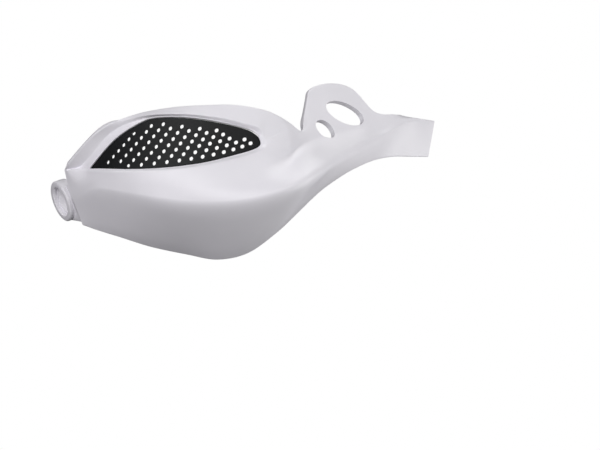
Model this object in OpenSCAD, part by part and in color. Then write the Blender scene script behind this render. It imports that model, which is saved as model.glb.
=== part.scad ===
// Hand guard for a handlebar: one moulded shell that hangs between the bar end and a
// clamp on the bar, with a perforated vent panel staked into a recess from behind.
// X runs inboard along the bar axis, Y rearward, Z up.
// The origin is the centre of the outer face of the bar-end eye.

/* [Guard] */
// Distance along the bar from the bar-end face to the clamp end
guard_length = 235; // [215:1:260]
// How far the belly stands forward of the bar axis
guard_reach = 126.5; // [112:0.5:140]
// Height from the top rim to the lowest edge
guard_height = 88; // [76:1:100]
// Wall of the moulding
wall = 3; // [2.4:0.1:3.6]
// Depth of the stiffening lip along the lower edge
edge_lip = 4; // [3.5:0.1:6]
// Radius of the soft belly ridge
belly_radius = 7; // [5:0.5:9]

/* [Bar-end eye] */
// Outer diameter of the eye
eye_d = 24; // [21.5:0.5:26]
// Bore for the bar-end bushing
eye_bore = 14; // [10:0.5:15]
// Thickness of the eye along the bar
eye_thick = 7; // [6:0.5:8]
// Diameter of the counterbore for the bushing flange
counterbore_d = 17; // [15.5:0.5:20]
// Depth of the counterbore
counterbore_depth = 2.5; // [1:0.25:3.5]

/* [Clamp end] */
// Height of the channel end over its flanges
channel_height = 21.7; // [19:0.1:25]
// Diameter of the clamp bolt hole
bolt_hole_d = 8; // [6:0.25:9]
// Distance of the bolt axis outboard of the clamp end
bolt_inset = 10; // [8:0.5:12]
// Distance of the bolt axis forward of the bar axis
bolt_forward = 17; // [15:0.5:19]
// Radius of the notch that clears the bar
notch_radius = 15; // [14:0.25:16.5]

/* [Wing holes] */
// Long axis of the large hole
large_hole_l = 27; // [20:0.5:30]
// Short axis of the large hole
large_hole_w = 14; // [10:0.5:16]
// Diameter of the small hole
small_hole_d = 10; // [7:0.5:11]

/* [Vent] */
// Radius of the bowed vent face
vent_radius = 78; // [74:0.5:84]
// Depth of the recess around the vent panel
recess_depth = 2.5; // [1.5:0.25:3]
// Thickness of the panel
panel_t = 2; // [1.5:0.1:2.5]
// How far the panel face lies below the recess floor
panel_sink = 0.8; // [0.4:0.1:1.5]
// Width of the lower flange that seats behind the opening
flange_w = 4.5; // [4:0.25:5.5]
// Diameter of the vent holes
vent_hole_d = 2.3; // [1.8:0.1:2.8]
// Gap around the panel in the opening
panel_gap = 0.3; // [0.2:0.05:0.5]
// Diameter of the moulded stakes that hold the panel
stake_d = 2.6; // [2:0.1:3]

/* [Hidden] */
$fn = 48;

// The form is drawn at these sizes and stretched to the driving ones.
drawn_size = [235, 126.5, 88];
form = [guard_length / drawn_size.x, guard_reach / drawn_size.y, guard_height / drawn_size.z];
function shape(p) = [p.x * form.x, p.y * form.y, p.z * form.z];

// Frame of the clamp end: its X follows the bar past its bend, its Z is the bolt's line.
clamp_at = shape([drawn_size.x, -42.4, -28]);
clamp_turn = [0, 21.8, -21.9];
function turn_y(p, a) = [p.x * cos(a) + p.z * sin(a), p.y, p.z * cos(a) - p.x * sin(a)];
function turn_z(p, a) = [p.x * cos(a) - p.y * sin(a), p.x * sin(a) + p.y * cos(a), p.z];
function turn_x(p, a) = [p.x, p.y * cos(a) - p.z * sin(a), p.y * sin(a) + p.z * cos(a)];
function from_clamp(p) = clamp_at + turn_z(turn_y(p, clamp_turn.y), clamp_turn.z);
flange_top = channel_height * 0.52;
flange_low = flange_top - channel_height;
front_wall = -30;
flange_rear = -5;

function on_vent(p, r) = let (q = to_vent(p), k = r / norm([q.x, q.y])) from_vent([q.x * k, q.y * k, q.z]);
function out_of_vent(p) = let (q = to_vent(p)) unit(from_vent([q.x, q.y, 0]) - from_vent([0, 0, 0]));

// Ridge lines of the form, each as [station, x, y, z].
// Station 0 is the outboard edge, 8 the notch before the wing, 13 the wing's foot, 16 the clamp end.
rim_line = [[0, -0.5, -18, 15], [0.6, 1.5, -25, 22.5], [1, 5.5, -33, 29.5], [2, 16, -49.5, 40.5],
    [3, 29, -61.5, 44], [4, 43, -74, 44], [5, 58, -85.5, 41.5], [6, 74, -95, 37], [7, 92, -98, 27.5],
    [8, 111, -91.5, 12], [9, 122, -82.5, 18.9], [9.6, 130, -76.8, 24.8], [10, 134.8, -73.6, 28.6],
    [10.3, 138.6, -72, 29.6], [11, 153, -69, 28.5], [12, 171.5, -66.6, 20.6],
    [13, 180.5, -72.6, 3.7], [14, 196, -71.5, -3], [15, 212, -59, -8.5], [15.5, 221, -47, -11.3]];
floor_top_line = [[0, -0.5, -19, 12], [0.6, 4, -29, 22], [1, 8, -36.5, 27], [2, 18, -51.5, 38],
    [3, 30.5, -66, 42], [4, 44.3, -81, 40.2], [5, 57.5, -91.5, 34.8], [6, 69, -98, 28],
    [6.6, 77, -101.5, 21], [6.8, 78, -102.5, 18], [8, 110, -92, 11.5]];
floor_low_line = [[0, -0.5, -20, 9], [0.6, 4, -29.5, 21], [1, 8.5, -44, 18.2], [2, 17, -65, 16.8],
    [3, 28, -80, 14.8], [4, 41, -91, 13.2], [5, 54.5, -97.6, 12.4], [6, 68, -101.5, 12.2],
    [6.6, 76.5, -102.8, 13.8], [6.8, 78, -103, 15.5], [8, 108, -94.5, 10]];
valley_line = [[0, -0.5, -21, 6], [1, 6, -44, 15], [2, 13.5, -63, 13.5], [3, 23.5, -80.5, 11],
    [4, 37, -95.5, 6.5], [5, 53, -106.5, 3], [6, 70, -113, 1.7], [7, 88, -107, 3], [8, 107, -95, 9],
    [9, 118, -93, 4], [10, 131, -88, 3], [11, 149, -83, 0], [12, 166, -79, -2], [13, 180, -77, -6],
    [14, 196, -73.5, -8], [15, 212, -70, -12]];
belly_line = [[0, 1, -20, 1], [1, 5, -43, 10], [2, 12.5, -61.5, 9], [3, 21, -80, 5], [4, 35, -97, -2.5],
    [5, 51, -112.5, -6.5], [6, 67, -123.5, -6.5], [7, 84, -126.5, -4.5], [8, 100, -121, -4.3],
    [9, 112, -115, -5], [10, 124, -108.5, -6], [11, 142, -98.5, -7.2], [12, 160, -89.5, -8.3],
    [13, 176, -82.5, -9.6], [14, 194, -75.5, -10.5], [15, 212, -71, -13.3]];
edge_line = [[0, 3, -17, -14], [1, 7, -26, -17.5], [2, 13.5, -37, -22.5], [3, 24, -50.5, -30.5],
    [4, 37, -64.5, -38], [5, 48, -77, -43.5], [6, 60, -90, -42.5], [7, 75, -99.5, -35],
    [8, 92, -99.3, -29], [9, 106, -97, -25], [10, 118, -94.3, -22.8], [11, 137, -89.3, -21.5],
    [12, 156, -82.7, -22.3], [13, 172, -77, -24.3], [14, 188, -73, -27.6], [15, 205, -70.7, -33]];
// Direction in which the lower edge turns in
turn_in_line = [[0, 0.95, 0.2, 0.1], [2, 0.75, 0.5, 0.4], [4, 0.6, 0.6, 0.55], [6, 0.15, 0.73, 0.68],
    [9, -0.1, 0.8, 0.6], [12, -0.2, 0.9, 0.35], [14, 0.1, 1, 0.1], [16, 0.373, 0.928, 0]];
last_station = 16;

// Frame of the vent: a cylinder whose axis stands behind the face; X looks out of it.
// Three places of the recess's floor carry it along when the form is stretched.
vent_drawn_at = [96.7, -24, 25];
vent_drawn_face = 223.4;
vent_drawn_radius = 78;
vent_lean = [-4, 27, 0];
recess_places = [point(floor_low_line, 2), point(floor_low_line, 8), point(floor_top_line, 4)];
function leant(q) = turn_y(turn_x(q, vent_lean.x), vent_lean.y);
function upright(p) = turn_x(turn_y(p, -vent_lean.y), -vent_lean.x);
function reach(q) = (norm([q[0].x, q[0].y]) + norm([q[1].x, q[1].y]) + norm([q[2].x, q[2].y])) / 3;
function heading(q) = atan2(q[1].y - q[0].y, q[1].x - q[0].x);
places_drawn = [for (p = recess_places) upright(p - vent_drawn_at)];
places_now = [for (p = recess_places) upright(shape(p - vent_drawn_at))];
vent_face = vent_drawn_face + heading(places_now) - heading(places_drawn);
vent_shift = reach(places_now) - reach(places_drawn) + vent_drawn_radius - vent_radius;
vent_at = shape(vent_drawn_at) + leant([cos(vent_face), sin(vent_face), 0]) * vent_shift;
function to_vent(p) = upright(p - vent_at);
function from_vent(q) = vent_at + leant(q);

function unit(v) = v / norm(v);
function mix(a, b, t) = a + (b - a) * t;
function ease(a, b, t) = let (s = min(1, max(0, (t - a) / (b - a)))) s * s * (3 - 2 * s);

// A smooth curve through the points of a ridge line, at station u
function point(c, i) = [c[i][1], c[i][2], c[i][3]];
function step(c, i) = (point(c, i + 1) - point(c, i)) / (c[i + 1][0] - c[i][0]);
function slope(c, i) = i == 0 ? step(c, 0) : i == len(c) - 1 ? step(c, i - 1)
    : let (a = c[i][0] - c[i - 1][0], b = c[i + 1][0] - c[i][0]) (step(c, i - 1) * b + step(c, i) * a) / (a + b);
function span_of(c, u, i = 0) = i >= len(c) - 2 || u < c[i + 1][0] ? i : span_of(c, u, i + 1);
function along(c, u) = let (i = span_of(c, u), h = c[i + 1][0] - c[i][0], t = (u - c[i][0]) / h)
    point(c, i) * (2 * t ^ 3 - 3 * t ^ 2 + 1) + slope(c, i) * h * (t ^ 3 - 2 * t ^ 2 + t)
    + point(c, i + 1) * (3 * t ^ 2 - 2 * t ^ 3) + slope(c, i + 1) * h * (t ^ 3 - t ^ 2);
function ended(c, p) = concat([for (r = c) [r[0], r[1] * form.x, r[2] * form.y, r[3] * form.z]],
    [[last_station, p.x, p.y, p.z]]);
function stretched(c) = [for (r = c) [r[0], r[1] * form.x, r[2] * form.y, r[3] * form.z]];

rim = ended(rim_line, from_clamp([0, flange_rear, flange_top]));
floor_top = stretched(floor_top_line);
floor_low = stretched(floor_low_line);
valley = ended(valley_line, from_clamp([0, front_wall + 2, flange_top]));
belly = ended(belly_line, from_clamp([0, front_wall, flange_top]));
edge = ended(edge_line, from_clamp([0, front_wall, flange_low]));

// A corner k between a and b, rounded over the distance r
function bend(a, k, b, r) = let (p = k + unit(a - k) * min(r, norm(a - k) * 0.45),
    q = k + unit(b - k) * min(r, norm(b - k) * 0.45)) [p, (p + k * 2 + q) / 4, q];

// A point drawn onto the vent's face by the share w
function bow(p, w) = mix(p, on_vent(p, vent_radius), w);

// One section of the outer face at station u, from the rim down to the turned-in edge
step_run = 1.8;
lip_run = 1.4;
shelf_bulge = 2.5;
facet_bulge = 1.2;
cheek_bulge = 2;
function section(u) = let (
    t = along(rim, u), v = along(valley, u), n = along(belly, u), b = along(edge, u),
    in_dish = ease(0.1, 0.8, u) * (1 - ease(6.85, 8, u)),
    bowed = 1 - ease(6.7, 7.1, u),
    ud = min(u, 8),
    f1 = mix(mix(t, v, 0.3), bow(along(floor_top, ud), bowed), in_dish),
    f2 = mix(mix(t, v, 0.7), bow(along(floor_low, ud), bowed), in_dish),
    fa = mix(f1, f2, 0.35), fb = mix(f1, f2, 0.7),
    roll = recess_depth * ease(2.2, 3.4, u) * (1 - ease(6.62, 6.9, u)),
    lift = recess_depth * 0.5 * ease(0.6, 1.4, u) * (1 - ease(6.62, 6.9, u)),
    s = mix(f1 + unit(t - f1) * min(step_run, norm(t - f1) * 0.5) + out_of_vent(f1) * roll,
        mix(t, v, 0.15), 1 - in_dish),
    m = mix(f2 + unit(v - f2) * min(lip_run, norm(v - f2) * 0.4) + out_of_vent(f2) * lift,
        mix(t, v, 0.83), 1 - in_dish),
    out = unit((v + n) / 2 - (t + b) / 2),
    cheek = out_of_vent(mix(t, v, 0.5)) * cheek_bulge * ease(6.4, 7, u) * (1 - ease(7, 8, u)),
    shelf = mix(v, n, 0.5) + out * shelf_bulge * ease(3, 5, u) * (1 - ease(10, 13, u)),
    facet = mix(n, b, 0.5) + out * facet_bulge * ease(1, 4, u) * (1 - ease(13, 15, u)),
    wide = mix(edge_lip, flange_rear - front_wall, ease(12.5, last_station, u)),
    c = b + unit(along(turn_in_line, u)) * wide)
    concat([t, mix(t, s, 0.55) + cheek * 0.5, s + cheek * 0.8, f1 + cheek,
        bow(fa, in_dish * bowed) + cheek, bow(fb, in_dish * bowed) + cheek, f2 + cheek, m + cheek * 0.8],
        bend(m, v, shelf, 4), [shelf], bend(shelf, n, facet, belly_radius), [facet, b, c]);
// Rows of the section whose inner face is the seat of the vent panel
seat_rows = [2, 7];

stations = concat([for (u = [0:0.4:6]) u], [for (u = [6.2:0.14:6.9]) u], [for (u = [7.1:0.3:9.2]) u],
    [for (u = [9.5:0.4:13.5]) u], [for (u = [13.8:0.3:15.3]) u], [for (u = [15.5:0.125:16]) u]);
outer = [for (u = stations) section(u)];
nu = len(outer);
nv = len(outer[0]);

// Inner face: the outer one moved in by the wall, flat against the vent's cylinder at the seat
function facing(i, j, a, b) = let (p = outer[i][j], q = outer[i + a][j], r = outer[i][j + b],
    c = cross(q - p, r - p) * a * b) norm(c) < 1e-9 ? [0, 0, 0] : c / norm(c);
function facings(i, j) = [for (a = [-1, 1], b = [-1, 1])
    if (i + a >= 0 && i + a < nu && j + b >= 0 && j + b < nv) facing(i, j, a, b)];
function total(v, i = 0) = i == len(v) ? [0, 0, 0] : v[i] + total(v, i + 1);
function inset(i, j) = let (f = facings(i, j), n = unit(total(f)), k = min([for (g = f) n * g]))
    outer[i][j] + n * wall / max(0.6, k);
function seated(u, j) = j < seat_rows[0] || j > seat_rows[1] ? 0 : ease(0.4, 0.9, u) * (1 - ease(6.8, 7.2, u));
// Under the rim the seat ends in the corner below the band, and its rows close up where the recess narrows
seat_share = 0.15;
function seat_drop(i, j) = let (low = norm(outer[i][seat_rows[0] + 1] - outer[i][seat_rows[1] - 1]) * seat_share)
    j == seat_rows[0] ? step_run + min(wall * 0.7, low) : j == seat_rows[0] + 1 ? min(wall * 0.9, low * 1.6) : 0;
vent_axis = from_vent([0, 0, 1]) - from_vent([0, 0, 0]);
inner = [for (i = [0:nu - 1]) [for (j = [0:nv - 1]) let (p = inset(i, j), w = seated(stations[i], j))
    w == 0 ? p : mix(p, on_vent(outer[i][j] - vent_axis * seat_drop(i, j), vent_radius - wall), w)]];

// A closed skin between two grids of points
module skin(a, b) {
    n = len(a) * len(a[0]);
    w = len(a[0]);
    h = len(a);
    function at(i, j, s) = s * n + i * w + j;
    function quad(p, q, r, s) = [[p, q, r], [p, r, s]];
    faces = [for (i = [0:h - 2], j = [0:w - 2], s = [0, 1]) each s == 0
        ? quad(at(i, j, 0), at(i + 1, j, 0), at(i + 1, j + 1, 0), at(i, j + 1, 0))
        : quad(at(i, j, 1), at(i, j + 1, 1), at(i + 1, j + 1, 1), at(i + 1, j, 1))];
    ends = [for (j = [0:w - 2]) each concat(
        quad(at(0, j, 0), at(0, j + 1, 0), at(0, j + 1, 1), at(0, j, 1)),
        quad(at(h - 1, j + 1, 0), at(h - 1, j, 0), at(h - 1, j, 1), at(h - 1, j + 1, 1)))];
    sides = [for (i = [0:h - 2]) each concat(
        quad(at(i + 1, 0, 0), at(i, 0, 0), at(i, 0, 1), at(i + 1, 0, 1)),
        quad(at(i, w - 1, 0), at(i + 1, w - 1, 0), at(i + 1, w - 1, 1), at(i, w - 1, 1)))];
    polyhedron([for (r = a) each r, for (r = b) each r], concat(faces, ends, sides));
}

// Bar-end eye and the neck that joins it to the shell's outboard edge
neck_reach = 19.5;
neck_top = 6;
neck_low = -13.5;
neck_inset = 2.5;
module eye() {
    rotate([0, 90, 0]) cylinder(h = eye_thick, d = eye_d, $fn = 72);
    translate([neck_inset, 0, 0]) rotate([90, 0, 90]) linear_extrude(eye_thick - neck_inset)
        polygon([[0, eye_d / 2], [-neck_reach * form.y, neck_top * form.z],
            [-neck_reach * form.y, neck_low * form.z], [0, -eye_d / 2]]);
}
module eye_bores() {
    translate([-1, 0, 0]) rotate([0, 90, 0]) cylinder(h = eye_thick + 2, d = eye_bore);
    translate([-1, 0, 0]) rotate([0, 90, 0]) cylinder(h = counterbore_depth + 1, d = counterbore_d);
}

// Wall that closes the channel at the clamp end, notched round the bar
end_sink = 0.3;
module at_clamp() translate(clamp_at) rotate(clamp_turn) children();
module end_wall() {
    front = front_wall + end_sink;
    top = flange_top - end_sink;
    low = flange_low + end_sink;
    rear = flange_rear - end_sink;
    corners = [[0, front, top], [0, front, low], [0, rear, low], [0, rear, top]];
    face = [for (c = corners) c - [end_sink, 0, 0]];
    back = [for (c = corners) c - [end_sink + wall, 0, 0]];
    difference() {
        polyhedron(concat(face, back), [[2, 1, 0], [3, 2, 0], [5, 6, 4], [6, 7, 4], [5, 4, 0], [1, 5, 0],
            [6, 5, 1], [2, 6, 1], [7, 6, 2], [3, 7, 2], [4, 7, 3], [0, 4, 3]]);
        translate([-notch_radius, 0, 0]) rotate([0, 90, 0]) cylinder(h = notch_radius * 2, r = notch_radius);
    }
}
module bolt_bore() translate([-bolt_inset, -bolt_forward, flange_low - wall])
    cylinder(h = channel_height + wall * 2, d = bolt_hole_d);

// Holes through the wing, square to its face
wing_lean = [61.7, 28.7, 5];
large_hole_at = shape([154.7, -76, 9]);
small_hole_at = shape([131.2, -85.2, 6.5]);
hole_cut = wall * 6;
module large_hole() translate(large_hole_at) rotate(wing_lean) linear_extrude(hole_cut, center = true)
    polygon([for (a = [0:10:350]) [large_hole_l / 2 * cos(a), large_hole_w / 2 * sin(a)]]);
module small_hole() translate(small_hole_at) rotate(wing_lean)
    cylinder(h = hole_cut, d = small_hole_d, center = true);

// Leaf-shaped edge of the vent opening, as [place, across, up] in the plane that looks out of the vent
vent_edge = [[0, -45.7, -46, 0], [1, -30.8, -30.3, 0], [2, -17, -21, 0], [3, -7.3, -17.2, 0],
    [4, 12, -15.4, 0], [5, 31, -16, 0], [6, 41.7, -17.6, 0], [7, 45.9, -21.8, 0], [8, 44.6, -26, 0],
    [9, 32.9, -32.4, 0], [10, 18.8, -38.2, 0], [11, 0, -42.8, 0], [12, -20, -45.2, 0], [13, -45.7, -46, 0]];
function across_up(q, face, r) = let (k = r / norm([q.x, q.y])) [(q.y * cos(face) - q.x * sin(face)) * k, q.z];
drawn = [for (q = places_drawn) across_up(q, vent_drawn_face, vent_drawn_radius)];
placed = [for (p = recess_places) across_up(to_vent(shape(p)), vent_face, vent_radius)];
function in_recess(p) = let (a = drawn[0], b = drawn[1] - a, c = drawn[2] - a, d = p - a,
    whole = b.x * c.y - b.y * c.x, s = (d.x * c.y - d.y * c.x) / whole, t = (b.x * d.y - b.y * d.x) / whole)
    placed[0] + (placed[1] - placed[0]) * s + (placed[2] - placed[0]) * t;
leaf = [for (i = [0:0.25:12.75]) let (p = along(vent_edge, i)) in_recess([p.x, p.y])];
vent_near = vent_radius * 0.6;
vent_far = vent_radius * 1.2;
module at_vent() translate(vent_at) rotate(vent_lean) rotate([0, 0, vent_face]) children();
module leaf_prism(grow, drop = 0) translate([vent_near, 0, -drop]) rotate([90, 0, 90])
    linear_extrude(vent_far - vent_near) offset(delta = grow) polygon(leaf);

// Tube round the vent's axis, where the panel lies
tube_low = -80;
tube_high = 30;
module vent_tube(r_in, r_out) translate([0, 0, tube_low]) difference() {
    cylinder(h = tube_high - tube_low, r = r_out);
    translate([0, 0, -1]) cylinder(h = tube_high - tube_low + 2, r = r_in);
}
seat_gap = 0.2;
seat_radius = vent_radius - wall - seat_gap;
back_radius = seat_radius - panel_t;

// Stakes along the lower flange, as [across, up] of the leaf's edge above each
stake_places = [[-28, -45.6], [0, -42.8], [28, -34.6]];
stake_fit = 0.2;
stake_head = 1.2;
stake_head_d = stake_d + 2;
head_gap = 0.1;
module at_stakes() for (p = stake_places) let (q = in_recess(p))
    translate([0, 0, q.y - flange_w / 2 - stake_fit]) rotate([0, 0, asin(q.x / vent_radius)])
        rotate([0, 90, 0]) children();
module stakes() at_vent() at_stakes() {
    translate([0, 0, back_radius - head_gap])
        cylinder(h = vent_radius - wall / 2 - back_radius, d = stake_d, $fn = 24);
    translate([0, 0, back_radius - head_gap - stake_head]) cylinder(h = stake_head, d = stake_head_d, $fn = 24);
}

// The moulding before its round bores
module moulding() difference() {
    union() {
        skin(outer, inner);
        eye();
        at_clamp() end_wall();
        stakes();
    }
    large_hole();
    at_vent() leaf_prism(0);
}

module guard_shell() {
    color("white") difference() {
        resize([0, 0, 0]) moulding();
        eye_bores();
        at_clamp() bolt_bore();
        small_hole();
    }
}

// Vent holes in slanted columns that fan apart towards the outboard tip
function hole_at(i, j) = in_recess([
    -33.5 + 5.34 * i + 3.01 * j - 0.031 * i * i - 0.127 * i * j - 0.039 * j * j,
    -42.2 - 2.29 * i + 3.2 * j + 0.013 * i * i + 0.043 * i * j + 0.006 * j * j]);
// First and last row of holes in each column
column_rows = [[0, 5], [1, 7], [1, 8], [2, 8], [3, 9], [4, 9], [5, 10], [6, 10], [7, 11], [8, 11], [9, 11],
    [10, 11], [11, 12], [12, 12]];

// Thin perforated face with a skirt round it and a flange below
skirt_t = 1.2;
module vent_panel() {
    color("#1c2022") at_vent() difference() {
        union() {
            intersection() {
                vent_tube(back_radius, vent_radius - panel_sink);
                leaf_prism(-panel_gap);
            }
            intersection() {
                vent_tube(back_radius, seat_radius);
                leaf_prism(-panel_gap, flange_w);
            }
        }
        intersection() {
            translate([0, 0, tube_low]) cylinder(h = tube_high - tube_low, r = vent_radius - panel_sink - panel_t);
            leaf_prism(-panel_gap - skirt_t);
        }
        rotate([90, 0, 90]) for (i = [0:len(column_rows) - 1], j = [column_rows[i][0]:column_rows[i][1]])
            translate([hole_at(i, j).x, hole_at(i, j).y, vent_near])
                cylinder(h = vent_far - vent_near, d = vent_hole_d);
        at_stakes() translate([0, 0, vent_near]) cylinder(h = vent_far - vent_near, d = stake_d + stake_fit * 2);
    }
}

guard_shell();
vent_panel();
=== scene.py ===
import math

import bmesh
import bpy
import numpy as np
from mathutils import Matrix, Vector


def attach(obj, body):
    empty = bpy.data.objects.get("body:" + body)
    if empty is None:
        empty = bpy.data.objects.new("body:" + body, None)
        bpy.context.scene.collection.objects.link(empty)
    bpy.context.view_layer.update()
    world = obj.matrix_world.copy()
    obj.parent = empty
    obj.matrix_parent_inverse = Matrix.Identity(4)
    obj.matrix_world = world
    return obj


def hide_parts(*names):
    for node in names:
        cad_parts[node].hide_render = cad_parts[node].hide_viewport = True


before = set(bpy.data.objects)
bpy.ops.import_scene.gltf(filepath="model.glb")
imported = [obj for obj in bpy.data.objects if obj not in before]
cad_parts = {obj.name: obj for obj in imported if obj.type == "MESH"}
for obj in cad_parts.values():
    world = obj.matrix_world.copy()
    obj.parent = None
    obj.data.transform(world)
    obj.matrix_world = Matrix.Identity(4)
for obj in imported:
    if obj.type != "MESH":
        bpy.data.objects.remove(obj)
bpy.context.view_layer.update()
print("frame loaded")

millimetre = 0.001

# Sizes of the moulding, in millimetres. The wall, the recess and its runs are the CAD part's, and the
# radii and bulges are for the look alone
shell = {
    "wall": 3.0, "edgeLip": 4.0, "bellyRadius": 15.0, "valleyRadius": 4.0, "valleyGrowth": 12.0,
    "recessDepth": 2.5, "stepRun": 1.8, "lipRun": 1.4, "shelfBulge": 2.5, "shelfDip": 0.6,
    "facetBulge": 1.2, "cheekBulge": 2.0, "edgeRound": 0.8, "turnRound": 1.0, "stepRound": 0.6,
    "stepGrowth": 2.4, "footRound": 0.5, "stations": 280, "calmTurns": 150,
}
# The vent's cylinder: a point on its axis, how that leans, the way the leaf faces, its radius, the depth
# from the seat to the panel's back and the rounded edge of the opening
vent = {
    "at": (96.7, -24.0, 25.0), "lean": (-4.0, 27.0), "face": 223.4, "radius": 78.0, "panelDepth": 2.2,
    "edge": 0.7,
}
# The clamp channel: its place and turn, its front and rear, its flanges' heights and the top one's slope
clamp = {
    "at": (234.5, -42.4, -28.0), "turn": (21.8, -21.9), "front": -30.0, "rear": -5.0, "top": 13.0,
    "low": -10.42, "slope": 2.4,
}

# Ridge lines of the form, each as station, x, y, z. turnIn is the way in which the edge turns in
ridges = {
    "rim": [[0, 0.4, -19.5, 20.3], [0.6, 1.2, -25, 23.8], [1, 5.3, -33, 30], [2, 16, -49.5, 40.5],
            [3, 29, -61.5, 44], [4, 43, -74, 44], [5, 58, -85.5, 41.5], [6, 74, -95, 37], [7, 92, -98, 27.5],
            [7.6, 103.7, -94.6, 18.3], [8, 111, -91.5, 12], [8.4, 116.2, -87.8, 14.6],
            [9, 122.4, -82.3, 18.9], [9.6, 130, -76.8, 24.8], [10, 134.8, -73.6, 28.6],
            [10.3, 138.6, -72, 29.6], [11, 153, -69, 28.5], [12, 171.5, -66.6, 20.6], [13, 180.5, -72.6, 3.7],
            [14, 196, -71.5, -2.5], [15, 212, -59, -7.8], [15.5, 221, -47, -12]],
    "floorTop": [[0, 0, -18.6, 18.6], [0.6, 4, -29, 23], [1, 8, -36.5, 27], [2, 18, -51.5, 38],
                 [3, 30.5, -66.5, 41.2], [4, 44.3, -81.7, 39], [5, 57.5, -92, 33.6], [6, 69, -98.4, 26.8],
                 [6.6, 77, -101.5, 21], [6.8, 78, -102.5, 18], [8, 110, -92, 11.5]],
    "floorLow": [[0, 0.2, -19, 19.4], [0.6, 3.7, -30.5, 20.6], [1, 8.3, -43.6, 19.4], [2, 16.8, -64.6, 17.9],
                 [3, 27.8, -79.6, 15.9], [4, 40.8, -90.7, 14.3], [5, 54.4, -97.4, 13.4], [6, 68, -101.5, 13],
                 [6.6, 76.5, -102.8, 13.8], [6.8, 78, -103, 15.5], [8, 108, -94.5, 10]],
    "valley": [[0, -0.3, -18.5, 6], [1, 6, -44, 15], [2, 13.5, -63, 13.5], [3, 23.5, -80.5, 11],
               [4, 37, -95.5, 6.5], [5, 53, -106.5, 3], [6, 70, -113, 1.7], [7, 88, -107, 2.8],
               [8, 106, -97.5, 6.6], [9, 118, -93, 4], [10, 131, -88, 3], [11, 149, -83, 0],
               [12, 166, -79, -2], [13, 180, -77, -6], [14, 196, -73.5, -7.2], [15, 212, -70, -9.4]],
    "belly": [[0, 0.5, -19, 1], [1, 5, -43.3, 8], [2, 12.3, -62.2, 4.6], [3, 20.7, -81, -0.6],
              [4, 34.7, -98.3, -6.6], [5, 50.8, -113.6, -9.4], [6, 67, -124, -8.3],
              [7, 84, -126.7, -6.3], [8, 100, -121.8, -5.5], [9, 112, -115, -5], [10, 124, -108.5, -6],
              [11, 142, -98.5, -7.2], [12, 160, -89.5, -8.3],
              [13, 176, -82.5, -9.6], [14, 194, -75.5, -10.2], [15, 212, -71, -11.6]],
    "edge": [[0, 2.4, -17.5, -13.5], [1, 7, -26, -17.5], [2, 13.5, -37, -22.5], [3, 24, -50.5, -30.5],
             [4, 37, -64.5, -38], [5, 48, -77, -43.5], [6, 60, -90, -42.5], [7, 75, -99.5, -35],
             [8, 92, -99.3, -29], [9, 106, -97, -25], [10, 118, -94.3, -22.8], [11, 137, -89.3, -21.5],
             [12, 156, -82.7, -22.3], [13, 172, -77, -24.3], [14, 188, -73, -27.6], [15, 205, -70.7, -33]],
    "turnIn": [[0, 0.95, 0.2, 0.1], [2, 0.75, 0.5, 0.4], [4, 0.6, 0.6, 0.55], [6, 0.15, 0.73, 0.68],
               [9, -0.1, 0.8, 0.6], [12, -0.2, 0.9, 0.35], [14, 0.1, 1, 0.1], [16, 0.373, 0.928, 0]],
}
lastStation = 16.0
# Where the recess's rows lie between the rim and the valley once it has closed, and each row's share of the
# cheek's bulge
rowShares = {"band": 0.55, "step": 0.15, "top": 0.3, "foot": 0.7, "lip": 0.83}
cheekShares = {"band": 0.5, "step": 0.75, "top": 0.9, "foot": 0.9, "lip": 0.65}


def rotation(axis, degrees):
    return np.array(Matrix.Rotation(math.radians(degrees), 3, axis))


def unit(v):
    return v / np.maximum(np.linalg.norm(v, axis=-1, keepdims=True), 1e-12)


def mix(a, b, t):
    return a + (b - a) * np.asarray(t)[..., None]


def ease(a, b, u):
    s = np.clip((u - a) / (b - a), 0, 1)
    return s * s * (3 - 2 * s)


# Point at station u: a cubic through the listed points, each slope the mean of its two neighbours
# weighted by the other one's span
def along(line, u):
    line = np.array(line, float)
    k, p = line[:, 0], line[:, 1:]
    h = np.diff(k)
    d = np.diff(p, axis=0) / h[:, None]
    m = np.vstack([d[:1], (h[1:, None] * d[:-1] + h[:-1, None] * d[1:]) / (h[1:] + h[:-1])[:, None], d[-1:]])
    i = np.clip(np.searchsorted(k, u, side="right") - 1, 0, len(k) - 2)
    t, w = ((u - k[i]) / h[i])[:, None], h[i][:, None]
    return ((2 * t**3 - 3 * t**2 + 1) * p[i] + (t**3 - 2 * t**2 + t) * w * m[i]
            + (3 * t**2 - 2 * t**3) * p[i + 1] + (t**3 - t**2) * w * m[i + 1])


clampTurn = rotation("Z", clamp["turn"][1]) @ rotation("Y", clamp["turn"][0])
ventTurn = rotation("Y", vent["lean"][1]) @ rotation("X", vent["lean"][0])
ventFace = ventTurn @ rotation("Z", vent["face"])


def fromClamp(p):
    return np.array(clamp["at"]) + np.asarray(p, float) @ clampTurn.T


def fromVent(p):
    return np.array(vent["at"]) + np.asarray(p, float) @ ventFace.T


# The point moved square to the vent's axis until it lies at that radius
def onVent(p, radius):
    q = (p - np.array(vent["at"])) @ ventTurn
    q[..., :2] *= (radius / np.linalg.norm(q[..., :2], axis=-1))[..., None]
    return np.array(vent["at"]) + q @ ventTurn.T


# A point drawn onto the vent's face by the share w
def bow(p, w):
    return mix(p, onVent(p, vent["radius"]), w)


def outOfVent(p):
    q = (p - np.array(vent["at"])) @ ventTurn
    q[..., 2] = 0
    return unit(q @ ventTurn.T)


ends = {
    "rim": (0, clamp["rear"], clamp["top"] - clamp["slope"]), "valley": (0, clamp["front"] + 2, clamp["top"]),
    "belly": (0, clamp["front"], clamp["top"]), "edge": (0, clamp["front"], clamp["low"]),
}
for name, end in ends.items():
    ridges[name] = ridges[name] + [[lastStation, *fromClamp(end)]]


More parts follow.
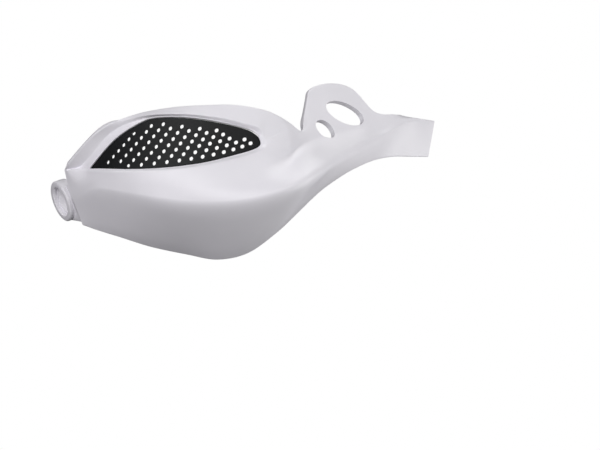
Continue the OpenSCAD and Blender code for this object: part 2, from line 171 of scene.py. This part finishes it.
# Corner points of the outer section at every station, from the rim to the turned-in edge. dish is the
# share by which the vent's recess is open, bowed the share by which it follows the vent's cylinder, and
# spread keeps the recess's rows near the rim at the outboard end
def outerCorners(u):
    rim, valley, belly, edge = (along(ridges[k], u) for k in ("rim", "valley", "belly", "edge"))
    dish = ease(0.1, 0.8, u) * (1 - ease(6.8, 7.35, u))
    low = np.minimum(u, 8)
    bowed = 1 - ease(6.7, 7.1, u)
    spread = 0.12 + 0.88 * ease(2, 3, u)
    top = mix(mix(rim, valley, rowShares["top"] * spread),
              bow(along(ridges["floorTop"], low), bowed), dish)
    foot = mix(mix(rim, valley, rowShares["foot"] * spread),
               bow(along(ridges["floorLow"], low), bowed), dish)
    closing = 1 - ease(6.45, 7.0, u)
    roll = shell["recessDepth"] * ease(2.2, 3.4, u) * closing
    lift = shell["recessDepth"] * 0.5 * ease(0.6, 1.4, u) * closing
    reach = np.minimum(shell["stepRun"], np.linalg.norm(rim - top, axis=1) * 0.5)[:, None]
    step = mix(top + unit(rim - top) * reach + outOfVent(top) * roll[:, None],
               mix(rim, valley, rowShares["step"] * spread), 1 - dish)
    reach = np.minimum(shell["lipRun"], np.linalg.norm(valley - foot, axis=1) * 0.4)[:, None]
    lip = mix(foot + unit(valley - foot) * reach + outOfVent(foot) * lift[:, None],
              mix(rim, valley, rowShares["lip"] * spread), 1 - dish)
    out = unit((valley + belly) / 2 - (rim + edge) / 2)
    puff = shell["cheekBulge"] * ease(6.4, 7, u) * (1 - ease(7, 8, u))
    cheek = outOfVent(mix(rim, valley, 0.5)) * puff[:, None]
    shelfRise = shell["shelfBulge"] * (ease(3, 5, u) * (1 - ease(7, 8.6, u))
                                       - shell["shelfDip"] * ease(8, 9, u) * (1 - ease(12, 14, u)))
    facetRise = shell["facetBulge"] * ease(1, 4, u) * (1 - ease(13, 15, u))
    shelf = mix(valley, belly, 0.5) + out * shelfRise[:, None]
    facet = mix(belly, edge, 0.5) + out * facetRise[:, None]
    width = shell["edgeLip"] + (clamp["rear"] - clamp["front"] - shell["edgeLip"]) * ease(12.5, lastStation, u)
    turned = edge + unit(along(ridges["turnIn"], u)) * width[:, None]
    floor = [bow(mix(top, foot, k), dish * bowed) + cheek for k in (0.12, 0.24, 0.36, 0.48, 0.6, 0.72, 0.86)]
    rows = {"band": mix(rim, step, rowShares["band"]), "step": step, "top": top, "foot": foot, "lip": lip}
    rows = {name: row + cheek * cheekShares[name] for name, row in rows.items()}
    return {
        **rows, "rim": rim, "floor": floor, "valley": valley, "shelf": shelf, "belly": belly,
        "facet": facet, "edge": edge, "turned": turned,
    }


# A corner between two neighbours, cut back by the radius on each side and joined by a quadratic curve
def rounded(path, radii, counts):
    rows = []
    n = path.shape[1]
    for j in range(n):
        k, a, b = path[:, j], path[:, j - 1], path[:, (j + 1) % n]
        la = np.linalg.norm(a - k, axis=1)
        lb = np.linalg.norm(b - k, axis=1)
        p = k + unit(a - k) * np.minimum(radii[j], la * 0.49)[:, None]
        q = k + unit(b - k) * np.minimum(radii[j], lb * 0.49)[:, None]
        for s in np.linspace(0, 1, counts[j]):
            rows.append(p * (1 - s)**2 + k * 2 * s * (1 - s) + q * s * s)
    return np.stack(rows, axis=1)


# Inner face: the outer corners moved in by the wall along the mitre of the faces that meet there
def movedIn(grid, wall):
    total = np.zeros_like(grid)
    found = []
    for a in (-1, 1):
        for b in (-1, 1):
            q, r = np.roll(grid, -a, axis=0), np.roll(grid, -b, axis=1)
            c = np.cross(q - grid, r - grid) * (a * b)
            length = np.linalg.norm(c, axis=-1)
            good = length > 1e-9
            good[-1 if a > 0 else 0, :] = False
            good[:, -1 if b > 0 else 0] = False
            c = np.where(good[..., None], c / np.maximum(length, 1e-12)[..., None], 0)
            total += c
            found.append((c, good))
    n = unit(total)
    least = np.min([np.where(g, np.sum(c * n, axis=-1), 1) for c, g in found], axis=0)
    return grid + n * (wall / np.maximum(least, 0.6))[..., None]


def gridMesh(name, grid):
    rows, cols = grid.shape[:2]
    i, j = np.meshgrid(np.arange(rows - 1), np.arange(cols), indexing="ij")
    i, j = i.ravel(), j.ravel()
    k = (j + 1) % cols
    quads = np.stack([i * cols + j, (i + 1) * cols + j, (i + 1) * cols + k, i * cols + k], axis=1)
    faces = quads.tolist()
    faces.append(list(range(cols)))
    faces.append(list(range(rows * cols - 1, (rows - 1) * cols - 1, -1)))
    mesh = bpy.data.meshes.new(name)
    mesh.from_pydata((grid.reshape(-1, 3) * millimetre).tolist(), [], faces)
    mesh.validate()
    piece = bpy.data.objects.new(name, mesh)
    bpy.context.scene.collection.objects.link(piece)
    return piece


def faceOutward(piece):
    bm = bmesh.new()
    bm.from_mesh(piece.data)
    bmesh.ops.recalc_face_normals(bm, faces=bm.faces)
    bm.to_mesh(piece.data)
    bm.free()
    return piece


# The skin: a closed loop round the wall at each station, carried along the stations
u = np.unique(np.concatenate([np.linspace(0, lastStation, shell["stations"]), np.linspace(6.5, 7.2, 30),
                              np.linspace(15.3, lastStation, 24), np.linspace(0, 1.2, 30)]))
corner = outerCorners(u)
outerPath = np.stack([corner["rim"], corner["band"], corner["step"], corner["top"], *corner["floor"],
                      corner["foot"], corner["lip"], corner["valley"], corner["shelf"], corner["belly"],
                      corner["facet"], corner["edge"], corner["turned"]], axis=1)

# Round the notch the face is evened out along the stations: again and again each point moves by its share
# towards the mean of its neighbours, the more the farther it lies from the rim
share = np.concatenate([[0, 0.03, 0.08, 0.15], np.linspace(0.25, 1, 7), [1, 1, 1, 0.5], np.zeros(4)])
share = share[None, :, None] * (ease(7.3, 8, u) * (1 - ease(9.5, 11.5, u)))[1:-1, None, None]
for turn in range(shell["calmTurns"]):
    outerPath[1:-1] += share * ((outerPath[:-2] + outerPath[2:]) / 2 - outerPath[1:-1])

soft = 60.0  # a radius so large that the corner runs from one half-way point to the next
valleyRadii = shell["valleyRadius"] + shell["valleyGrowth"] * ease(6.8, 9, u)
stepRadii = shell["stepRound"] + shell["stepGrowth"] * (1 - ease(2, 3.2, u))
outerRadii = [shell["edgeRound"], soft, stepRadii, shell["footRound"], *[soft] * 7, shell["footRound"],
              shell["stepRound"], valleyRadii, soft, shell["bellyRadius"], soft, shell["turnRound"],
              shell["edgeRound"]]
outerCounts = [4, 3, 4, 4, *[2] * 7, 4, 4, 7, 4, 9, 4, 5, 4]


def bentIn(a, k, b, r):
    p = k + unit(a - k) * np.minimum(r, np.linalg.norm(a - k, axis=1) * 0.45)[:, None]
    q = k + unit(b - k) * np.minimum(r, np.linalg.norm(b - k, axis=1) * 0.45)[:, None]
    return [p, (p + k * 2 + q) / 4, q]


wallGrid = np.stack([corner["rim"], corner["band"], corner["step"], corner["top"], corner["floor"][2],
                     corner["floor"][5], corner["foot"], corner["lip"],
                     *bentIn(corner["lip"], corner["valley"], corner["shelf"], shell["valleyRadius"]),
                     corner["shelf"],
                     *bentIn(corner["shelf"], corner["belly"], corner["facet"], shell["bellyRadius"]),
                     corner["facet"], corner["edge"], corner["turned"]], axis=1)
innerPath = movedIn(wallGrid, shell["wall"])
seatShare = ease(0.4, 0.9, u) * (1 - ease(6.8, 7.2, u))
ventAxis = ventTurn[:, 2]
low = np.linalg.norm(wallGrid[:, 3] - wallGrid[:, 6], axis=1) * 0.15
drops = {2: shell["stepRun"] + np.minimum(shell["wall"] * 0.7, low),
         3: np.minimum(shell["wall"] * 0.9, low * 1.6)}
for j in range(2, 8):
    drop = np.broadcast_to(drops.get(j, 0), len(u))[:, None]
    seat = onVent(wallGrid[:, j] - ventAxis * drop, vent["radius"] - shell["wall"])
    innerPath[:, j] = mix(innerPath[:, j], seat, seatShare)
innerPath = innerPath[:, ::-1]
innerRadii = [shell["edgeRound"], *[soft] * (innerPath.shape[1] - 2), shell["edgeRound"]]
innerCounts = [4, *[2] * (innerPath.shape[1] - 2), 4]
loop = rounded(np.concatenate([outerPath, innerPath], axis=1), outerRadii + innerRadii,
               outerCounts + innerCounts)
skin = faceOutward(gridMesh("shellSkin", loop))
print("skin made", loop.shape)


# A solid whose outline is carried through rows of depth, each row grown outward by its own amount
def outlineSolid(name, outline, rows, place):
    outline = np.array(outline, float)
    before, after = np.roll(outline, 1, axis=0), np.roll(outline, -1, axis=0)
    tangent = unit(unit(outline - before) + unit(after - outline))
    normal = np.stack([tangent[:, 1], -tangent[:, 0]], axis=1)
    area = np.sum(outline[:, 0] * after[:, 1] - outline[:, 1] * after[:, 0])
    normal *= np.sign(area)
    grid = []
    for depth, grow in rows:
        flat = outline + normal * grow
        grid.append(place(flat, depth))
    return faceOutward(gridMesh(name, np.array(grid)))


# Rows of depth and growth from low to high whose ends follow a quarter circle: inward for a solid's
# edge, outward for a cutter that leaves a rounded edge
def edgeRows(low, high, r, way, over=0.0, steps=5):
    turn = np.linspace(0, math.pi / 2, steps)
    depth, grow = r - r * np.cos(turn), way * (r - r * np.sin(turn))
    rows = list(zip(low + depth, grow)) + list(zip(high - depth[::-1], grow[::-1]))
    if over:
        rows = [(low - over, way * r)] + rows + [(high + over, way * r)]
    return rows


def circle(r, count=96):
    a = np.arange(count) * 2 * math.pi / count
    return np.stack([r * np.cos(a), r * np.sin(a)], axis=1)


def alongX(flat, depth):
    return np.column_stack([np.full(len(flat), depth), flat])


def inClamp(flat, depth):
    return fromClamp(np.column_stack([flat, np.full(len(flat), depth)]))


def inClampAlongX(flat, depth):
    return fromClamp(np.column_stack([np.full(len(flat), depth), flat]))


# A leaf point at a radius from the vent's axis
def inVent(flat, radius):
    return fromVent(np.column_stack([np.sqrt(radius**2 - flat[:, 0]**2), flat]))


# The wing's two holes: how its face leans, and each hole's middle and its lengths
wing = {"lean": (61.7, 28.7, 5.0), "largeAt": (154.7, -76.2, 9.4), "smallAt": (131.2, -85.2, 6.5),
        "long": 30.2, "short": 14.8, "smallLong": 14.5, "smallShort": 12.0, "through": 9.0}
wingTurn = rotation("Z", wing["lean"][2]) @ rotation("Y", wing["lean"][1]) @ rotation("X", wing["lean"][0])


def inWing(at):
    return lambda flat, depth: np.array(at) + np.column_stack([flat, np.full(len(flat), depth)]) @ wingTurn.T


def combine(piece, other, operation):
    step = piece.modifiers.new(operation, "BOOLEAN")
    step.operation = operation
    step.solver = "MANIFOLD"
    step.object = other
    shape = piece.evaluated_get(bpy.context.evaluated_depsgraph_get())
    made = bpy.data.meshes.new_from_object(shape)
    piece.modifiers.clear()
    piece.data = made
    bpy.data.objects.remove(other)
    return piece


# The eye, a ring with a rounded rim, and the neck behind its face that runs out to the shell's edge
eye = {"radius": 12.0, "thick": 7.0, "bore": 7.0, "counterbore": 8.5, "depth": 2.5, "round": 1.2,
       "boreRound": 0.5}
neck = {"reach": 19.0, "top": 6.0, "low": -11.5, "inset": 2.56, "round": 0.8}
lug = outlineSolid("lug", circle(eye["radius"]), edgeRows(0, eye["thick"], eye["round"], -1), alongX)
neckOutline = [[0, eye["radius"]], [-neck["reach"], neck["top"]], [-neck["reach"], neck["low"]],
               [0, -eye["radius"]]]
neckRows = edgeRows(neck["inset"], eye["thick"] - 0.1, neck["round"], -1)
neckPlate = outlineSolid("neck", neckOutline, neckRows, alongX)
combine(lug, neckPlate, "UNION")

# The wall that closes the clamp channel, set in a little from its end, with a notch for the bar
closure = {
    "front": -29.7, "rear": -5.3, "low": -10.1, "top": 12.7, "rearTop": 10.3, "setIn": 0.3, "thick": 3.0,
    "notchRadius": 15.0, "notchReach": 12.0,
}
wallFace = np.array([(0, closure["front"], closure["top"]), (0, closure["front"], closure["low"]),
                     (0, closure["rear"], closure["low"]), (0, closure["rear"], closure["rearTop"])])
endWall = faceOutward(gridMesh("endWall", np.stack([
    fromClamp(wallFace - [closure["setIn"], 0, 0]),
    fromClamp(wallFace - [closure["setIn"] + closure["thick"], 0, 0])])))
notch = outlineSolid("notch", circle(closure["notchRadius"]),
                     [(-closure["notchReach"], 0), (closure["notchReach"], 0)], inClampAlongX)
combine(endWall, notch, "DIFFERENCE")

# Outline of the vent's opening, each point as its number, across and up
leafPoints = [[0, -45.7, -46, 0], [1, -30.8, -30.3, 0], [2, -17, -21, 0], [3, -7.3, -17.2, 0],
              [4, 12, -15.4, 0], [5, 31, -16, 0], [6, 41.7, -17.6, 0], [7, 45.9, -21.8, 0], [8, 44.6, -26, 0],
              [9, 32.9, -32.4, 0], [10, 18.8, -38.2, 0], [11, 0, -42.8, 0], [12, -20, -45.2, 0],
              [13, -45.7, -46, 0]]
leaf = along(leafPoints, np.linspace(0, 13, 157)[:-1])[:, :2]
seatRadius = vent["radius"] - shell["wall"]
backRadius = seatRadius - vent["panelDepth"]
combine(skin, lug, "UNION")
combine(skin, endWall, "UNION")

# The stakes that hold the panel: their places across and up, their drop from the leaf's edge, the pin's
# radius and the head's radius, thickness and rounded edge
stakes = {
    "places": ((-28, -45.6), (0, -42.8), (28, -34.6)), "drop": 2.45, "pinRadius": 1.3, "headRadius": 2.3,
    "headThick": 1.2, "headGap": 0.1, "headRound": 0.5, "sides": 32,
}
for across, up in stakes["places"]:
    angle = math.asin(across / vent["radius"])
    turn = ventFace @ rotation("Z", math.degrees(angle))
    base = np.array(vent["at"]) + ventFace @ np.array([0, 0, up - stakes["drop"]])

    def onStake(flat, depth, turn=turn, base=base):
        return base + np.column_stack([np.full(len(flat), depth), flat]) @ turn.T

    pinRows = [(backRadius - 0.5, 0), (vent["radius"] - shell["wall"] / 2, 0)]
    pin = outlineSolid("pin", circle(stakes["pinRadius"], stakes["sides"]), pinRows, onStake)
    combine(skin, pin, "UNION")
    headTop = backRadius - stakes["headGap"]
    headRows = edgeRows(headTop - stakes["headThick"], headTop, stakes["headRound"], -1)
    head = outlineSolid("head", circle(stakes["headRadius"], stakes["sides"]), headRows, onStake)
    combine(skin, head, "UNION")
leafRows = edgeRows(seatRadius - 0.2, vent["radius"], vent["edge"], 1, over=20)
combine(skin, outlineSolid("leafCut", leaf, leafRows, inVent), "DIFFERENCE")
throughWing = [(-wing["through"], 0), (wing["through"], 0)]
large = circle(1.0) * [wing["long"] / 2, wing["short"] / 2]
combine(skin, outlineSolid("largeCut", large, throughWing, inWing(wing["largeAt"])), "DIFFERENCE")
small = circle(1.0) * [wing["smallLong"] / 2, wing["smallShort"] / 2]
combine(skin, outlineSolid("smallCut", small, throughWing, inWing(wing["smallAt"])), "DIFFERENCE")

# The hole for the clamp's bolt, through both flanges
bolt = {"radius": 4.0, "at": (-10.0, -17.0), "past": 3.0}
boltRows = [(clamp["low"] - bolt["past"], 0), (clamp["top"] + bolt["past"], 0)]
combine(skin, outlineSolid("boltCut", circle(bolt["radius"]) + bolt["at"], boltRows, inClamp), "DIFFERENCE")

# The eye's bore and the wider one in front of it
boreRows = edgeRows(eye["depth"], eye["thick"], eye["boreRound"], 1, over=4)
combine(skin, outlineSolid("boreCut", circle(eye["bore"]), boreRows, alongX), "DIFFERENCE")
frontRows = edgeRows(0, 2 * eye["depth"], eye["boreRound"], 1)[:5]
counterRows = [(-3, eye["boreRound"]), *frontRows, (eye["depth"], 0)]
combine(skin, outlineSolid("counterCut", circle(eye["counterbore"]), counterRows, alongX), "DIFFERENCE")

# Edges sharper than this many degrees stay sharp in the shading
sharpFrom = {"shell": 38, "panel": 30}
skin.data.shade_smooth()
skin.data.set_sharp_from_angle(angle=math.radians(sharpFrom["shell"]))
skin.name = "guardShell"
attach(skin, "root")
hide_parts("guard_shell")
print("shell made", len(skin.data.polygons))

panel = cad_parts["vent_panel"]
panel.data.shade_smooth()
panel.data.set_sharp_from_angle(angle=math.radians(sharpFrom["panel"]))


def linear(hexColour):
    parts = [int(hexColour[k:k + 2], 16) / 255 for k in (1, 3, 5)]
    return [c / 12.92 if c <= 0.04045 else ((c + 0.055) / 1.055)**2.4 for c in parts] + [1.0]


def addNode(tree, kind, inputs=None, **settings):
    node = tree.nodes.new(kind)
    for key, value in settings.items():
        setattr(node, key, value)
    for key, value in (inputs or {}).items():
        if isinstance(value, bpy.types.NodeSocket):
            tree.links.new(value, node.inputs[key])
        else:
            node.inputs[key].default_value = value
    return node


# Moulded plastic: an even colour with a faint cloud in it, and a fine grain that breaks the shine
def mouldedPlastic(name, look):
    material = bpy.data.materials.new(name)
    material.use_nodes = True
    tree = material.node_tree
    tree.nodes.clear()
    place = addNode(tree, "ShaderNodeTexCoord").outputs["Object"]
    cloud = addNode(tree, "ShaderNodeTexNoise", {"Vector": place, "Scale": look["cloudScale"], "Detail": 3.0})
    grain = addNode(tree, "ShaderNodeTexNoise", {"Vector": place, "Scale": look["grainScale"], "Detail": 2.0})
    colour = addNode(tree, "ShaderNodeMix", data_type="RGBA")
    tree.links.new(cloud.outputs["Fac"], colour.inputs["Factor"])
    colour.inputs["A"].default_value = linear(look["dark"])
    colour.inputs["B"].default_value = linear(look["light"])
    rough = addNode(tree, "ShaderNodeMapRange", {"Value": cloud.outputs["Fac"], "To Min": look["rough"][0],
                                                 "To Max": look["rough"][1]})
    bump = addNode(tree, "ShaderNodeBump", {"Height": grain.outputs["Fac"], "Strength": look["bump"],
                                            "Distance": 0.0002})
    body = addNode(tree, "ShaderNodeBsdfPrincipled", {
        "Base Color": colour.outputs["Result"], "Roughness": rough.outputs["Result"],
        "Normal": bump.outputs["Normal"], "IOR": 1.49, "Specular IOR Level": look["shine"]})
    addNode(tree, "ShaderNodeOutputMaterial", {"Surface": body.outputs["BSDF"]})
    return material


whitePlastic = mouldedPlastic("whitePolypropylene", {
    "dark": "#e6e4ea", "light": "#efedf2", "rough": (0.34, 0.42), "cloudScale": 40.0, "grainScale": 2500.0,
    "bump": 0.15, "shine": 0.5})
blackPlastic = mouldedPlastic("blackPolypropylene", {
    "dark": "#0c0d0e", "light": "#121415", "rough": (0.4, 0.5), "cloudScale": 60.0, "grainScale": 3000.0,
    "bump": 0.3, "shine": 0.2})
for piece, material in ((skin, whitePlastic), (panel, blackPlastic)):
    piece.data.materials.clear()
    piece.data.materials.append(material)
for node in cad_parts.values():
    if not node.data.materials or node.data.materials[0] not in (whitePlastic, blackPlastic):
        node.data.materials.clear()
        node.data.materials.append(whitePlastic)
print("materials made")


# Camera: the photograph's own, found from the guard's sizes
view = {"azimuth": -33.5, "elevation": 15.7, "roll": -12.8, "distance": 587.7, "shift": (-8.4, 47.0),
        "target": (120.0, -60.0, 0.0), "lens": 60.0, "sensor": 36.0, "clip": (0.01, 20.0)}
az, el, roll = (math.radians(view[k]) for k in ("azimuth", "elevation", "roll"))
back = np.array([math.sin(az) * math.cos(el), -math.cos(az) * math.cos(el), math.sin(el)])
right = np.array([math.cos(az), math.sin(az), 0.0])
up = np.cross(back, right)
rightTurned = right * math.cos(roll) + up * math.sin(roll)
upTurned = -right * math.sin(roll) + up * math.cos(roll)
eyePoint = (np.array(view["target"]) + back * view["distance"] - rightTurned * view["shift"][0]
            - upTurned * view["shift"][1]) * millimetre
camera = bpy.data.objects.new("camera", bpy.data.cameras.new("camera"))
bpy.context.scene.collection.objects.link(camera)
camera.data.sensor_width = view["sensor"]
camera.data.lens = view["lens"]
camera.data.clip_start, camera.data.clip_end = view["clip"]
camera.matrix_world = Matrix([[*[v[k] for v in (rightTurned, upTurned, back)], eyePoint[k]] for k in range(3)]
                             + [[0, 0, 0, 1]])
bpy.context.scene.camera = camera


def softbox(name, place, aim, side, watts, colour):
    light = bpy.data.lights.new(name, "AREA")
    light.shape, light.size, light.size_y = "RECTANGLE", side, side
    light.energy, light.color = watts, colour
    lamp = bpy.data.objects.new(name, light)
    lamp.location = place
    lamp.rotation_euler = (Vector(place) - Vector(aim)).to_track_quat("Z", "Y").to_euler()
    bpy.context.scene.collection.objects.link(lamp)


# Studio: a white surround seen by the camera, a low even level on the object, and boxes 1 m from its
# middle, each as azimuth from the front, elevation, watts and colour
middle = Vector((0.12, -0.06, 0.0))
boxSide = 0.7
surround = {"onObject": 0.04, "seen": 1.0}
boxes = {
    "keyBox": (-45, 30, 5.0, (1, 1, 1)), "leftBox": (-85, 20, 2.4, (0.97, 0.95, 1)),
    "frontBox": (0, 16, 3.1, (1, 1, 1)), "inboardFront": (55, -30, 4.9, (1, 1, 1)),
    "inboardHigh": (100, 48, 4.2, (1, 1, 1)), "inboardLow": (100, -35, 1.3, (0.97, 0.95, 1)),
}
for name, (azimuth, elevation, watts, colour) in boxes.items():
    az, el = math.radians(azimuth), math.radians(elevation)
    way = Vector((math.sin(az) * math.cos(el), -math.cos(az) * math.cos(el), math.sin(el)))
    softbox(name, middle + way, middle, boxSide, watts, colour)
world = bpy.data.worlds.new("studio")
bpy.context.scene.world = world
world.use_nodes = True
tree = world.node_tree
tree.nodes.clear()
seen = addNode(tree, "ShaderNodeLightPath").outputs["Is Camera Ray"]
level = addNode(tree, "ShaderNodeMapRange", {"Value": seen, "To Min": surround["onObject"],
                                             "To Max": surround["seen"]})
white = addNode(tree, "ShaderNodeBackground", {"Color": (1, 1, 1, 1), "Strength": level.outputs["Result"]})
addNode(tree, "ShaderNodeOutputWorld", {"Surface": white.outputs["Background"]})
bpy.context.scene.view_settings.view_transform = "Standard"
bpy.context.scene.view_settings.look = "None"
